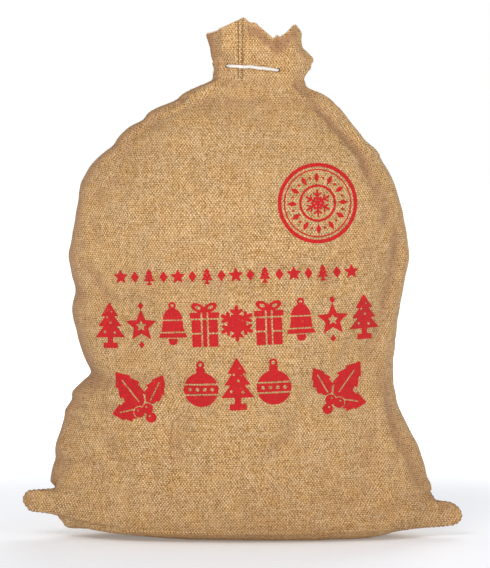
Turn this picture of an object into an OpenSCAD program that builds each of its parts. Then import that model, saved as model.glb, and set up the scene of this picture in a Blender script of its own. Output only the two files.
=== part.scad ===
// Hessian gift sack, filled and tied: two cloth panels sewn into a sack, a gathered
// neck, a ruffled mouth in two halves, and a cotton drawstring with knotted ends.
// Millimetres, +Z up, the front faces -Y. The origin is under the middle, on the floor.

/* [Cloth] */
// Thickness of the hessian
cloth_t = 1.6; // [1.2:0.1:2]
// Squareness of the filled sack's round cross-section (2 is an ellipse)
belly_square = 2.1; // [1.9:0.05:2.4]
// How far a seam's turned-in edge stands into the sack
seam_w = 9; // [6:1:12]

/* [Mouth] */
// Gap between the neck and the ruffle that folds open above it
lip_gap = 0.6; // [0.4:0.1:1]
// Height of the ruffle's back half below the front half
back_drop = 6; // [3:1:10]
// Width of the sewn joint that runs up the front of the ruffle
band_w = 7; // [5:0.5:9]

/* [Drawstring] */
// Thickness of the cotton cord
cord_d = 3.4; // [3:0.1:4]
// Diameter of the slits that the cord passes through
slit_d = 7.5; // [7.2:0.1:7.8]
// Thickness of the overhand knot in each end
knot_d = 9.5; // [8:0.5:11]

/* [Hidden] */

SEG = 20;
CLEAR = 0.3;
HESSIAN = [0.77, 0.62, 0.42];
HESSIAN_DARK = [0.66, 0.51, 0.33];
COTTON = [0.93, 0.91, 0.86];

// Levels of the filled sack: height, left edge, right edge, half depth.
BODY = [
    [0, -100, 150, 50], [5, -142, 180, 64], [9, -174, 194, 70], [14, -194, 205, 75],
    [22, -208, 210, 81], [32, -213, 211, 86], [46, -214, 211, 90], [62, -218, 210, 93],
    [82, -215, 206, 98], [104, -213, 200, 103], [128, -206, 187, 109], [150, -198, 177, 113],
    [172, -187, 172, 116], [196, -177, 171, 118], [226, -187, 174, 118], [258, -194, 178, 118],
    [290, -192, 184, 117], [320, -198, 190, 115], [350, -192, 186, 112], [378, -187, 180, 107],
    [402, -184, 173, 101], [422, -173, 163, 94], [440, -156, 150, 86], [456, -140, 136, 77],
    [470, -126, 125, 69], [483, -108, 115, 60], [494, -87, 107, 51], [504, -69, 92, 41],
    [512, -53, 79, 34], [519, -40, 68, 31], [526, -33, 70, 30], [534, -34, 76, 30],
    [541, -35, 79, 30]];

// Which way the cloth's inner face lies from its outer face, as a share of its thickness.
RISE = [[0, 1], [32, 0], [400, 0], [450, -0.7], [512, -0.8], [522, 0], [541, 0]];

// Levels of the ruffle as shares of its height: share, left edge, right edge, half depth.
RUFFLE = [
    [0, -35, 79, 30], [0.15, -36, 79, 31], [0.3, -36, 73, 32], [0.45, -37, 68, 33],
    [0.6, -38, 67, 34], [0.8, -40, 67, 35], [1, -41, 67, 36]];
// Height of the ruffle's free edge along its width.
EDGE = [[-41, 572], [-30, 576], [1, 592], [18, 584], [37, 567], [43, 571], [61, 581], [67, 574]];

// A signed power, which bends a circle into a superellipse.
function spow(v, e) = sign(v) * pow(abs(v), e);
// Point j of the front half of the loop at one level, drawn in by inset.
function arc_pt(s, j, inset, z) =
    let (a = (s[2] - s[1]) / 2 - inset, c = (s[1] + s[2]) / 2, b = s[3] - inset,
         t = 180 + 180 * j / SEG, e = 2 / belly_square)
    [c + a * spow(cos(t), e), b * spow(sin(t), e), z];
function body_ring(s, inset) =
    let (z = s[0] + (inset > 0 ? inset * lookup(s[0], RISE) : 0))
    [for (j = [0:SEG]) arc_pt(s, j, inset, z)];
function edge_z(x, drop) = lookup(x, EDGE) - drop;
function ruffle_z(x, share, drop) =
    let (z0 = BODY[len(BODY) - 1][0] + lip_gap)
    z0 + share * (edge_z(x, drop) - z0);
function ruffle_ring(s, inset, drop) =
    [for (j = [0:SEG])
        let (p = arc_pt(s, j, inset, 0))
        [p[0], p[1] - 0.4, ruffle_z(p[0], s[0], drop)]];

function flat(lists) = [for (l = lists) for (v = l) v];
// Two triangles for a quad given in order round its outside.
function quad(a, b, c, d) = [[a, b, c], [a, c, d]];

// A half shell: outer levels, inner levels, the two side edges, the rim and the base.
module half_shell(outer, inner, floor_cap) {
    n = len(outer);
    w = SEG + 1;
    pts = concat(flat(outer), flat(inner));
    off = n * w;
    skins = flat([for (i = [0:n - 2]) for (j = [0:SEG - 1])
        concat(
            quad(i * w + j, (i + 1) * w + j, (i + 1) * w + j + 1, i * w + j + 1),
            quad(off + i * w + j, off + i * w + j + 1,
                 off + (i + 1) * w + j + 1, off + (i + 1) * w + j))]);
    sides = flat([for (i = [0:n - 2])
        concat(
            quad(i * w, off + i * w, off + (i + 1) * w, (i + 1) * w),
            quad(i * w + SEG, (i + 1) * w + SEG, off + (i + 1) * w + SEG, off + i * w + SEG))]);
    top = (n - 1) * w;
    rim = flat([for (j = [0:SEG - 1])
        quad(top + j, off + top + j, off + top + j + 1, top + j + 1)]);
    base = floor_cap
        ? concat([[for (j = [0:SEG]) j]], [[for (j = [SEG:-1:0]) off + j]],
                 quad(0, SEG, off + SEG, off))
        : flat([for (j = [0:SEG - 1]) quad(j, j + 1, off + j + 1, off + j)]);
    polyhedron(points = pts, faces = concat(skins, sides, rim, base), convexity = 6);
}

// One sewn half of the sack, open at the neck, with a flat patch of floor under it.
module panel() {
    half_shell([for (s = BODY) body_ring(s, 0)], [for (s = BODY) body_ring(s, cloth_t)], true);
}

// A round slit through the neck, drilled front to back.
module slit(x, y, z) {
    translate([x, y, z])
        rotate([90, 0, 0])
            cylinder(d = slit_d, h = 26, center = true, $fn = 32);
}

module front_panel() {
    color(HESSIAN)
        difference() {
            panel();
            slit(-19.5, -24, 536.8);
            slit(43, -30, 533.2);
        }
}

module back_panel() {
    color(HESSIAN)
        difference() {
            mirror([0, 1, 0]) panel();
            slit(2, 30, 529);
            slit(34, 30, 529);
        }
}

// A seam's turned-in edge, standing inwards from the side edge between two levels.
module side_seam(col, dir) {
    rows = [for (i = [5:26]) BODY[i]];
    function seam_x(s) = s[col] + dir * (cloth_t + 0.4);
    pts = flat([for (s = rows)
        let (x = seam_x(s), z = s[0] + cloth_t * lookup(s[0], RISE))
        [[x, -1.1, z], [x + dir * seam_w, -1.1, z], [x + dir * seam_w, 1.1, z], [x, 1.1, z]]]);
    n = len(rows);
    walls = flat([for (i = [0:n - 2]) for (j = [0:3])
        let (k = (j + 1) % 4)
        dir > 0
            ? quad(i * 4 + j, (i + 1) * 4 + j, (i + 1) * 4 + k, i * 4 + k)
            : quad(i * 4 + j, i * 4 + k, (i + 1) * 4 + k, (i + 1) * 4 + j)]);
    last = (n - 1) * 4;
    ends = dir > 0
        ? [[0, 1, 2, 3], [last + 3, last + 2, last + 1, last]]
        : [[3, 2, 1, 0], [last, last + 1, last + 2, last + 3]];
    polyhedron(points = pts, faces = concat(walls, ends), convexity = 4);
}

module left_side_seam() {
    color(HESSIAN_DARK) side_seam(1, 1);
}

module right_side_seam() {
    color(HESSIAN_DARK) side_seam(2, -1);
}

// The bottom seam's turned-in edge, standing up along the middle of the floor.
module bottom_seam() {
    color(HESSIAN_DARK)
        translate([0, 1.1, cloth_t + 0.3])
            rotate([90, 0, 0])
                linear_extrude(height = 2.2)
                    polygon([[-94, 0], [144, 0], [147, 1], [147, seam_w - 3], [144, seam_w],
                             [-94, seam_w], [-97, seam_w - 3], [-97, 1]]);
}

// A flat corner of the sack that the filling doesn't reach: thick at its root, thin outside.
module corner(outline, root) {
    hull() {
        rotate([90, 0, 0])
            linear_extrude(height = 4, center = true)
                polygon(outline);
        rotate([90, 0, 0])
            linear_extrude(height = 15, center = true)
                polygon(root);
    }
}

module left_corner() {
    color(HESSIAN)
        corner([[-219, 54], [-241, 54], [-249, 47], [-251, 42], [-247, 35], [-239, 29],
                [-219, 27]],
               [[-219, 52], [-223, 52], [-223, 30], [-219, 30]]);
}

module right_corner() {
    color(HESSIAN)
        corner([[212, 50], [222, 42], [232, 41], [243, 35], [249, 29], [251, 21], [248, 14],
                [236, 12], [212, 14]],
               [[212, 46], [217, 44], [217, 17], [212, 17]]);
}

function ruffle_levels(inset, drop) = [for (s = RUFFLE) ruffle_ring(s, inset, drop)];

module ruffle_front() {
    color(HESSIAN) half_shell(ruffle_levels(0, 0), ruffle_levels(cloth_t, 0), false);
}

module ruffle_back() {
    color(HESSIAN_DARK)
        mirror([0, 1, 0])
            half_shell(ruffle_levels(0, back_drop), ruffle_levels(cloth_t, back_drop), false);
}

// Depth of the ruffle's outer face at one level and place along its width.
function ruffle_y(s, x) =
    let (a = (s[2] - s[1]) / 2, c = (s[1] + s[2]) / 2, u = min(1, abs(x - c) / a))
    -s[3] * pow(1 - pow(u, belly_square), 1 / belly_square) - 0.4;

// The sewn joint up the front of the ruffle, a thin double strip on its outer face.
module ruffle_seam() {
    x0 = -2.5 - band_w / 2;
    x1 = -2.5 + band_w / 2;
    pts = flat([for (s = RUFFLE)
        let (y0 = ruffle_y(s, x0) - 0.4, y1 = ruffle_y(s, x1) - 0.4,
             z0 = ruffle_z(x0, s[0], 0.6), z1 = ruffle_z(x1, s[0], 0.6),
             k = s[0] == 0 ? 1.2 : 0)
        [[x0, y0, z0 + k], [x1, y1, z1 + k], [x1, y1 - 1, z1 + k], [x0, y0 - 1, z0 + k]]]);
    n = len(RUFFLE);
    walls = flat([for (i = [0:n - 2]) for (j = [0:3])
        let (k = (j + 1) % 4)
        quad(i * 4 + j, i * 4 + k, (i + 1) * 4 + k, (i + 1) * 4 + j)]);
    last = (n - 1) * 4;
    caps = concat(quad(3, 2, 1, 0), quad(last, last + 1, last + 2, last + 3));
    color(HESSIAN_DARK) polyhedron(points = pts, faces = concat(walls, caps), convexity = 4);
}

// Route of the cord held by the neck: in from the back, across the front, and back again.
LOOP = [
    [-2, 20.5, 530], [-12, 18.5, 531], [-22, 13, 532.5], [-28, 5, 534], [-29, -3, 535],
    [-26.5, -9, 536], [-21.4, -15, 536.8], [-18.2, -23.6, 537], [-10, -28.4, 537.2],
    [2, -31.4, 537], [14, -32.7, 536.2], [27, -32.3, 534.8], [37.6, -31.5, 533.8],
    [42.6, -28.2, 533.2], [46, -21.5, 532.8], [58, -17.5, 533], [67, -10, 534], [70.5, 0, 534],
    [66.5, 9, 533], [57, 17, 531.5], [47, 20, 530.5], [39, 20.5, 530]];
// Route of one free end from its slit, down the shoulder and off the back of the sack.
TAIL = [
    [0, 23, 530.2], [0, 28, 529.8], [0, 31.6, 528], [0, 33.8, 524.6], [0.2, 34.2, 520.5],
    [0.6, 35.4, 516], [1, 38.6, 511], [1.6, 43.6, 505], [2.4, 51.5, 497.5],
    [3.2, 61.5, 486.5], [4, 71.2, 472.5], [5, 80, 457.5], [6, 89, 440.5], [7, 97, 422.6],
    [8, 103.8, 402.8], [9, 110, 378.8], [10, 115.2, 350.5], [10.6, 118.4, 320],
    [11, 120.2, 290], [11.4, 120.8, 258], [11.8, 120.8, 226], [12, 120.8, 196],
    [12.2, 120.8, 172], [12.3, 120.8, 150], [12.4, 120.8, 128], [12.5, 120.8, 108],
    [12.5, 120.8, 90]];

// Unit vector.
function unit(v) = v / norm(v);
function tangent(p, i) = unit(p[min(i + 1, len(p) - 1)] - p[max(i - 1, 0)]);

// A round cord swept along a route, with a flat face at each end.
module cord(route, up) {
    sides = 8;
    n = len(route);
    pts = flat([for (i = [0:n - 1])
        let (t = tangent(route, i), u = unit(cross(up, t)), v = cross(t, u))
        [for (k = [0:sides - 1])
            let (g = 360 * k / sides)
            route[i] + cord_d / 2 * (cos(g) * u + sin(g) * v)]]);
    walls = flat([for (i = [0:n - 2]) for (k = [0:sides - 1])
        let (m = (k + 1) % sides)
        quad(i * sides + k, (i + 1) * sides + k, (i + 1) * sides + m, i * sides + m)]);
    first = [for (k = [0:sides - 1]) k];
    end = [for (k = [sides - 1:-1:0]) (n - 1) * sides + k];
    polyhedron(points = pts, faces = concat(walls, [first, end]), convexity = 6);
}

module drawstring_loop() {
    color(COTTON) cord(LOOP, [0, 0, 1]);
}

function tail_route(x0, side) = [for (p = TAIL) [x0 + side * p[0], p[1], p[2]]];

module left_tail() {
    color(COTTON) cord(tail_route(2, -1), [1, 0, 0]);
}

module right_tail() {
    color(COTTON) cord(tail_route(34, 1), [1, 0, 0]);
}

// An overhand knot with a short brush of loose cotton under it.
module knot(x0, side) {
    p = TAIL[len(TAIL) - 1];
    r = knot_d / 2;
    translate([x0 + side * p[0], p[1], p[2] - knot_d * 1.1])
        rotate_extrude($fn = 32)
            polygon([[0, -12], [2.8, -12], [2.2, -4], [1.8, 0], [r * 0.75, knot_d * 0.12],
                     [r, knot_d * 0.35], [r * 0.96, knot_d * 0.7], [r * 0.7, knot_d],
                     [1.75, knot_d * 1.1], [0, knot_d * 1.1]]);
}

module left_knot() {
    color(COTTON) knot(2, -1);
}

module right_knot() {
    color(COTTON) knot(34, 1);
}

front_panel();
back_panel();
left_side_seam();
right_side_seam();
bottom_seam();
left_corner();
right_corner();
ruffle_front();
ruffle_back();
ruffle_seam();
drawstring_loop();
left_tail();
right_tail();
left_knot();
right_knot();
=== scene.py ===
import math
import random

import bpy
import numpy as np
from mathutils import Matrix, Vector, noise
from mathutils.bvhtree import BVHTree


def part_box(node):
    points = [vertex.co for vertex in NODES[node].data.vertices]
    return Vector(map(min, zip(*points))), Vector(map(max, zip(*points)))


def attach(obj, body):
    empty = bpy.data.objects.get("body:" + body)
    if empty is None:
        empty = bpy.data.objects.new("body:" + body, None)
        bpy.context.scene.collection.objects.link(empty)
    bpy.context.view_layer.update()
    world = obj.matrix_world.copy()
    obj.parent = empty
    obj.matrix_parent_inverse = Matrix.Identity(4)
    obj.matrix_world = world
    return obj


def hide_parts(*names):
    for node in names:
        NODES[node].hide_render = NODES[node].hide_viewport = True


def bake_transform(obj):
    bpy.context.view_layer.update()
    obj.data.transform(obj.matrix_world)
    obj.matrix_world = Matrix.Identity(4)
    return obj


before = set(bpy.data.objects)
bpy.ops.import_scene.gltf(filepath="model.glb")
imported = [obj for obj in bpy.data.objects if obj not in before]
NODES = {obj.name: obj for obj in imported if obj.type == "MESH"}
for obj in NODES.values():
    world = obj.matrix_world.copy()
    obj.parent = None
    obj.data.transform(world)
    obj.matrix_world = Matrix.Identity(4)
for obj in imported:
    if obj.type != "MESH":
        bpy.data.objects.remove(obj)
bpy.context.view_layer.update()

# ---------------------------------------------------------------- sizes, metres
CLOTH = 0.0011          # thickness of the hessian as it shows
WARP = 0.00172          # pitch of the upright threads
WEFT = 0.00238          # pitch of the level threads
CORD = 0.0034           # cotton cord
SQUARE = 2.1            # squareness of the filled sack's sections

SIDES = (("left", -1), ("right", 1))
LOOP_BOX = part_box("drawstring_loop")
NECK_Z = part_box("front_panel")[1][2]
BELLY_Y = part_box("back_panel")[1][1]
NECK_HALF = 0.0300      # half the depth of the neck


# ---------------------------------------------------------------- camera
VIEW_HEIGHT = 0.6475    # what the frame shows at the sack, top to bottom
DISTANCE = 4.2
SENSOR = 36
ELEVATION = math.radians(2.5)
AIM = Vector((0.0029, 0.0, 0.2885))
camera = bpy.data.objects.new("camera", bpy.data.cameras.new("camera"))
bpy.context.scene.collection.objects.link(camera)
camera.location = AIM + DISTANCE * Vector((0, -math.cos(ELEVATION), math.sin(ELEVATION)))
camera.rotation_euler = (math.pi / 2 - ELEVATION, 0, 0)
camera.data.sensor_width = SENSOR
camera.data.lens = SENSOR * DISTANCE / VIEW_HEIGHT
camera.data.clip_end = 100
bpy.context.scene.camera = camera


# ---------------------------------------------------------------- small tools
def new_mesh(name, verts, faces, material=None):
    """A smooth-shaded mesh object in the scene."""
    mesh = bpy.data.meshes.new(name)
    mesh.from_pydata([tuple(v) for v in verts], [], [tuple(f) for f in faces])
    mesh.validate()
    mesh.update()
    obj = bpy.data.objects.new(name, mesh)
    bpy.context.scene.collection.objects.link(obj)
    mesh.polygons.foreach_set("use_smooth", [True] * len(mesh.polygons))
    if material:
        mesh.materials.append(material)
    return obj


def smoothstep(a, b, x):
    t = np.clip((np.asarray(x, float) - a) / (b - a), 0, 1)
    return t * t * (3 - 2 * t)


def hill(x, at, width):
    """1 at one place, falling away to nothing on both sides of it."""
    return np.exp(-((x - at) / width) ** 2)


def band(x, low, high, soft_low, soft_high):
    """1 between low + soft_low and high - soft_high, and 0 outside low and high."""
    return smoothstep(low, low + soft_low, x) * (1 - smoothstep(high - soft_high, high, x))


def distances(points):
    """How far along a line each of its points is."""
    return np.concatenate([[0], np.cumsum(np.linalg.norm(np.diff(points, axis=0), axis=1))])


def resample(points, step):
    """A smooth line through the points, with points every step."""
    p = np.array(points, float)
    ext = np.vstack([2 * p[0] - p[1], p, 2 * p[-1] - p[-2]])
    fine = []
    for i in range(1, len(ext) - 2):
        a, b, c, d = ext[i - 1:i + 3]
        for t in np.linspace(0, 1, 12, endpoint=False):
            fine.append(0.5 * (2 * b + (c - a) * t + (2 * a - 5 * b + 4 * c - d) * t ** 2
                               + (3 * b - a - 3 * c + d) * t ** 3))
    fine.append(ext[-2])
    fine = np.array(fine)
    along = distances(fine)
    n = max(2, int(round(along[-1] / step)) + 1)
    want = np.linspace(0, along[-1], n)
    return np.stack([np.interp(want, along, fine[:, k]) for k in range(3)], 1)


def frames_along(p):
    """Two steady sideways directions at each point of a line."""
    t = np.gradient(p, axis=0)
    t /= np.linalg.norm(t, axis=1)[:, None]
    side = np.cross(t[0], [0, 0, 1.0])
    if np.linalg.norm(side) < 0.2:
        side = np.cross(t[0], [1.0, 0, 0])
    sides = []
    for k in t:
        side = side - k * np.dot(side, k)
        side /= np.linalg.norm(side)
        sides.append(side.copy())
    sides = np.array(sides)
    return sides, np.cross(t, sides)


def grid_faces(rows_up, across, closed=False):
    """The faces of a grid of points; closed joins the end of each row to its start."""
    faces = []
    for i in range(0, (rows_up - 1) * across, across):
        for j in range(across if closed else across - 1):
            m = (j + 1) % across
            faces.append((i + j, i + m, i + across + m, i + across + j))
    return faces


def tree_of(points, mesh):
    return BVHTree.FromPolygons([Vector(p) for p in points], [tuple(p.vertices) for p in mesh.polygons])


def first_hit(trees, start, direction, far):
    """The nearest point where a line meets one of several surfaces, and how far away it is."""
    hits = [tree.ray_cast(start, direction, far) for tree in trees]
    nearest = min((hit for hit in hits if hit[0] is not None), key=lambda hit: hit[3])
    return nearest[0], nearest[3]


def swept(points, around, reach):
    """Verts and faces of a closed tube along a line; reach(i, angle) is its radius there."""
    u, v = frames_along(points)
    verts = []
    for i, p in enumerate(points):
        for k in range(around):
            a = 2 * math.pi * k / around
            verts.append(p + reach(i, a) * (math.cos(a) * u[i] + math.sin(a) * v[i]))
    last = (len(points) - 1) * around
    ends = [tuple(range(around - 1, -1, -1)), tuple(range(last, last + around))]
    return verts, grid_faces(len(points), around, closed=True) + ends


def tube(points, radius, around=8, taper=None):
    return swept(points, around, lambda i, a: radius * (1 if taper is None else taper[i]))


def rope(points, radius, lobes=3, twist=0.0115, around=15, taper=None):
    """A laid cord: strands wound round each other."""
    along = distances(points)

    def reach(i, angle):
        turned = angle - 2 * math.pi * along[i] / twist
        strand = 0.79 + 0.21 * abs(math.cos(lobes / 2 * turned)) ** 0.7
        return radius * strand * (1 if taper is None else taper[i])

    return swept(points, around, reach)


def joined(parts):
    """Several lots of verts and faces as one."""
    verts, faces = [], []
    for v, f in parts:
        base = len(verts)
        verts += list(v)
        faces += [tuple(i + base for i in face) for face in f]
    return verts, faces


def set_weave(obj, places):
    """Gives every vertex its place in the weave, in metres."""
    layer = obj.data.uv_layers.new(name="weave")
    loops = np.zeros(len(obj.data.loops), np.int32)
    obj.data.loops.foreach_get("vertex_index", loops)
    layer.data.foreach_set("uv", np.array(places, np.float32)[loops].reshape(-1))


# ---------------------------------------------------------------- node materials
class Graph:
    def __init__(self, name):
        self.mat = bpy.data.materials.new(name)
        self.mat.use_nodes = True
        self.tree = self.mat.node_tree
        self.tree.nodes.clear()
        self.out = self.add("ShaderNodeOutputMaterial")
        self.shader = self.add("ShaderNodeBsdfPrincipled")
        self.link(self.shader.outputs[0], self.out.inputs[0])

    def add(self, kind):
        return self.tree.nodes.new(kind)

    def link(self, a, b):
        self.tree.links.new(a, b)

    def put(self, value, socket):
        if isinstance(value, (int, float, tuple)):
            socket.default_value = value
        else:
            self.link(value, socket)

    def math(self, op, a, b=None, c=None, clamp=False):
        n = self.add("ShaderNodeMath")
        n.operation = op
        n.use_clamp = clamp
        for s, value in zip(n.inputs, (a, b, c)):
            if value is not None:
                self.put(value, s)
        return n.outputs[0]

    def plus(self, a, b):
        return self.math("ADD", a, b)

    def minus(self, a, b):
        return self.math("SUBTRACT", a, b)

    def times(self, a, b):
        return self.math("MULTIPLY", a, b)

    def swing(self, x, size, around=0.0):
        """Turns x, from 0 to 1, into a value up to half of size above or below around."""
        return self.math("MULTIPLY_ADD", self.minus(x, 0.5), size, around)

    def combine(self, x, y, z=0.0):
        n = self.add("ShaderNodeCombineXYZ")
        for s, value in zip(n.inputs, (x, y, z)):
            self.put(value, s)
        return n.outputs[0]

    def noise(self, vector, scale, detail=2.0, rough=0.5):
        n = self.add("ShaderNodeTexNoise")
        self.link(vector, n.inputs["Vector"])
        n.inputs["Scale"].default_value = scale
        n.inputs["Detail"].default_value = detail
        n.inputs["Roughness"].default_value = rough
        return n.outputs["Fac"]

    def white(self, vector):
        n = self.add("ShaderNodeTexWhiteNoise")
        n.noise_dimensions = "3D"
        self.link(vector, n.inputs["Vector"])
        return n.outputs["Value"]

    def spread(self, x, lo, hi, to_lo=0.0, to_hi=1.0):
        n = self.add("ShaderNodeMapRange")
        n.interpolation_type = "SMOOTHSTEP"
        self.put(x, n.inputs["Value"])
        for key, value in (("From Min", lo), ("From Max", hi), ("To Min", to_lo),
                           ("To Max", to_hi)):
            n.inputs[key].default_value = value
        return n.outputs["Result"]

    def mix(self, fac, a, b, blend="MIX"):
        n = self.add("ShaderNodeMix")
        n.data_type = "RGBA"
        n.blend_type = blend
        self.put(fac, n.inputs[0])
        for value, s in ((a, n.inputs[6]), (b, n.inputs[7])):
            if isinstance(value, tuple):
                s.default_value = (*value, 1.0)
            else:
                self.link(value, s)
        return n.outputs[2]

    def bump(self, height, distance, strength):
        n = self.add("ShaderNodeBump")
        self.link(height, n.inputs["Height"])
        n.inputs["Distance"].default_value = distance
        n.inputs["Strength"].default_value = strength
        self.link(n.outputs["Normal"], self.shader.inputs["Normal"])


def hessian(name, weft, warp, dark, ink=None):
    """Plain-woven jute: round threads over and under each other, uneven, speckled and full of gaps.
    weft and warp are each a (dull, bright) pair of colours."""
    g = Graph(name)
    uv = g.add("ShaderNodeUVMap")
    uv.uv_map = "weave"
    pos = g.add("ShaderNodeTexCoord").outputs["Object"]
    split = g.add("ShaderNodeSeparateXYZ")
    g.link(uv.outputs["UV"], split.inputs[0])
    # the threads wander a little
    sway_u = g.swing(g.noise(pos, 26.0, 3.0), 0.0040)
    sway_v = g.swing(g.noise(pos, 21.0, 3.0), 0.0050)
    u = g.math("DIVIDE", g.plus(split.outputs[0], sway_u), WARP)
    v = g.math("DIVIDE", g.plus(split.outputs[1], sway_v), WEFT)
    iu, iv = g.math("FLOOR", u), g.math("FLOOR", v)
    across = g.math("SINE", g.times(g.minus(u, iu), math.pi))
    down = g.math("SINE", g.times(g.minus(v, iv), math.pi))
    over = g.math("FLOORED_MODULO", g.plus(iu, iv), 2.0)
    under = g.minus(1.0, over)
    # slubs: each thread is thick in places and thin in others
    slub_w = g.noise(g.combine(g.times(iu, 3.7), g.times(v, 0.13)), 1.0, 3.0)
    slub_f = g.noise(g.combine(g.times(u, 0.13), g.times(iv, 4.3), 9.0), 1.0, 3.0)
    thick_w = g.spread(slub_w, 0.3, 0.7, 0.75, 0.28)
    thick_f = g.spread(slub_f, 0.3, 0.7, 0.70, 0.24)
    top_w = g.times(g.math("POWER", across, thick_w), g.math("MULTIPLY_ADD", down, 0.55, 0.45))
    top_f = g.times(g.math("POWER", down, thick_f), g.math("MULTIPLY_ADD", across, 0.55, 0.45))
    height = g.plus(g.times(top_f, over), g.times(top_w, under))
    # every crossing has its own tone, and so has every thread
    crossing = g.white(g.combine(iu, iv, 3.0))
    slub = g.plus(g.times(slub_f, over), g.times(slub_w, under))
    fibre = g.noise(g.combine(g.times(u, 5.0), g.times(v, 5.0)), 1.0, 2.0)
    # the speckle is stronger in some patches than in others
    loud = g.spread(g.noise(pos, 15.0, 3.0), 0.35, 0.65, SPECKLE * 0.62, SPECKLE * 1.25)
    tone = g.plus(g.times(g.minus(crossing, 0.5), loud), g.swing(slub, 0.80, g.swing(fibre, 0.40, 0.5)))
    # runs of paler and darker thread, level and upright
    run_w = g.noise(g.combine(g.times(iu, 0.42), g.times(v, 0.045), 5.0), 1.0, 3.0)
    run_f = g.noise(g.combine(g.times(u, 0.032), g.times(iv, 0.50), 7.0), 1.0, 3.0)
    tone = g.math("ADD", tone, g.plus(g.swing(run_w, RUNS), g.swing(run_f, RUNS)), clamp=True)
    thread = g.mix(over, g.mix(tone, warp[0], warp[1]), g.mix(tone, weft[0], weft[1]))
    # broad soft patches, browner or paler, as in unbleached jute
    thread = g.mix(g.spread(g.noise(pos, 7.0, 3.0), 0.50, 0.72, 0.0, 0.30), thread, BROWN_PATCH)
    # some stretches are more golden and some greyer
    hue = g.spread(g.noise(pos, 52.0, 2.0), 0.36, 0.64)
    thread = g.mix(1.0, thread, g.mix(hue, GOLDEN, GREYISH), "MULTIPLY")
    # a few brown threads, which show as small crosses where two meet
    brown = g.math("MAXIMUM", g.spread(run_w, 0.60, 0.74), g.spread(run_f, 0.60, 0.74))
    spotted = g.times(g.spread(g.noise(pos, 17.0, 2.0), 0.52, 0.66), brown)
    thread = g.mix(g.times(spotted, 0.55), thread, SPOT_BROWN)
    # painted shade: the bottoms of folds, the left outline and the ruffle's turned-back part are tinted
    # darker, browner and calmer
    fold_shade_input = g.add("ShaderNodeAttribute")
    fold_shade_input.attribute_name = "fold_shade"
    thread = g.mix(g.times(fold_shade_input.outputs["Fac"], FOLD_SHADE_AMOUNT), thread, FOLD_SHADE_COLOUR)
    # holes where the threads part, a few of them wide open
    near_u, near_v = g.math("ROUND", u), g.math("ROUND", v)
    off_corner = g.math("MAXIMUM", g.math("ABSOLUTE", g.minus(u, near_u)),
                        g.math("ABSOLUTE", g.minus(v, near_v)))
    reach = g.spread(g.white(g.combine(near_u, near_v, 8.0)), 0.25, 1.0, 0.03, 0.34)
    hole = g.spread(g.minus(reach, off_corner), -0.02, 0.10)
    gap = g.times(g.spread(height, 0.05, 0.50), g.minus(1.0, hole))
    if ink:
        wear = g.spread(g.noise(pos, 75.0, 4.0, 0.7), 0.60, 0.80, 0.0, 0.26)
        painted = g.mix(tone, tuple(0.78 * c for c in ink), ink)
        thread = g.mix(wear, painted, thread)
        dark = tuple(0.62 * a + 0.12 * b for a, b in zip(ink, dark))
        gap = g.math("MULTIPLY_ADD", gap, 0.7, 0.3)
    g.link(g.mix(gap, dark, thread), g.shader.inputs["Base Color"])
    rough = g.spread(height, 0.0, 1.0, 0.96, 0.80 if ink is None else 0.66)
    g.link(rough, g.shader.inputs["Roughness"])
    g.shader.inputs["Specular IOR Level"].default_value = 0.25
    g.shader.inputs["Sheen Weight"].default_value = 0.02
    g.shader.inputs["Sheen Roughness"].default_value = 0.6
    rise = g.math("MULTIPLY_ADD", fibre, 0.25, g.math("MULTIPLY_ADD", hole, -0.5, height))
    g.bump(rise, 0.0006, 0.50)
    return g.mat


def cotton(name, colour, shade):
    """Soft laid cotton with fine fibres along the strands."""
    g = Graph(name)
    pos = g.add("ShaderNodeTexCoord").outputs["Object"]
    fuzz = g.noise(pos, 900.0, 3.0, 0.6)
    soft = g.noise(pos, 140.0, 2.0)
    g.link(g.mix(g.spread(soft, 0.3, 0.75), shade, colour), g.shader.inputs["Base Color"])
    g.link(g.spread(fuzz, 0.2, 0.8, 0.78, 0.95), g.shader.inputs["Roughness"])
    g.shader.inputs["Specular IOR Level"].default_value = 0.25
    g.shader.inputs["Sheen Weight"].default_value = 0.25
    g.bump(fuzz, 0.0003, 0.5)
    return g.mat


SPECKLE = 0.84          # how much neighbouring crossings differ
RUNS = 0.85             # how much one run of thread differs from the next
BROWN_PATCH = (0.45, 0.255, 0.115)
# the colour of the painted shade in the bottoms of folds
FOLD_SHADE_COLOUR = (0.385, 0.205, 0.105)
FOLD_SHADE_AMOUNT = 0.85        # how far the painted shade turns the bottom of a fold dark brown
SPOT_BROWN = (0.40, 0.19, 0.065)
WEFT_TONES = ((0.568, 0.325, 0.120), (0.785, 0.540, 0.298))
WARP_TONES = ((0.335, 0.170, 0.052), (0.545, 0.333, 0.150))
GAP = (0.14, 0.062, 0.018)
GOLDEN, GREYISH = (1.02, 1.0, 0.94), (0.975, 1.0, 1.05)
HESSIAN = hessian("hessian", WEFT_TONES, WARP_TONES, GAP)
HESSIAN_EDGE = hessian("hessian_edge", ((0.42, 0.25, 0.11), (0.66, 0.43, 0.21)),
                       ((0.30, 0.17, 0.07), (0.52, 0.32, 0.14)), GAP)
INK = hessian("red_print", WEFT_TONES, WARP_TONES, GAP, ink=(0.595, 0.0115, 0.0145))
COTTON = cotton("cotton", (0.84, 0.81, 0.78), (0.70, 0.67, 0.63))
THREAD = cotton("seam_thread", (0.25, 0.13, 0.05), (0.18, 0.09, 0.035))
FIBRE = cotton("jute_fibre", (0.66, 0.44, 0.21), (0.45, 0.28, 0.12))
# painted shade: the dark ovals over the cord's holes
SHADE = cotton("hole_shade", (0.055, 0.028, 0.012), (0.030, 0.016, 0.008))


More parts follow.
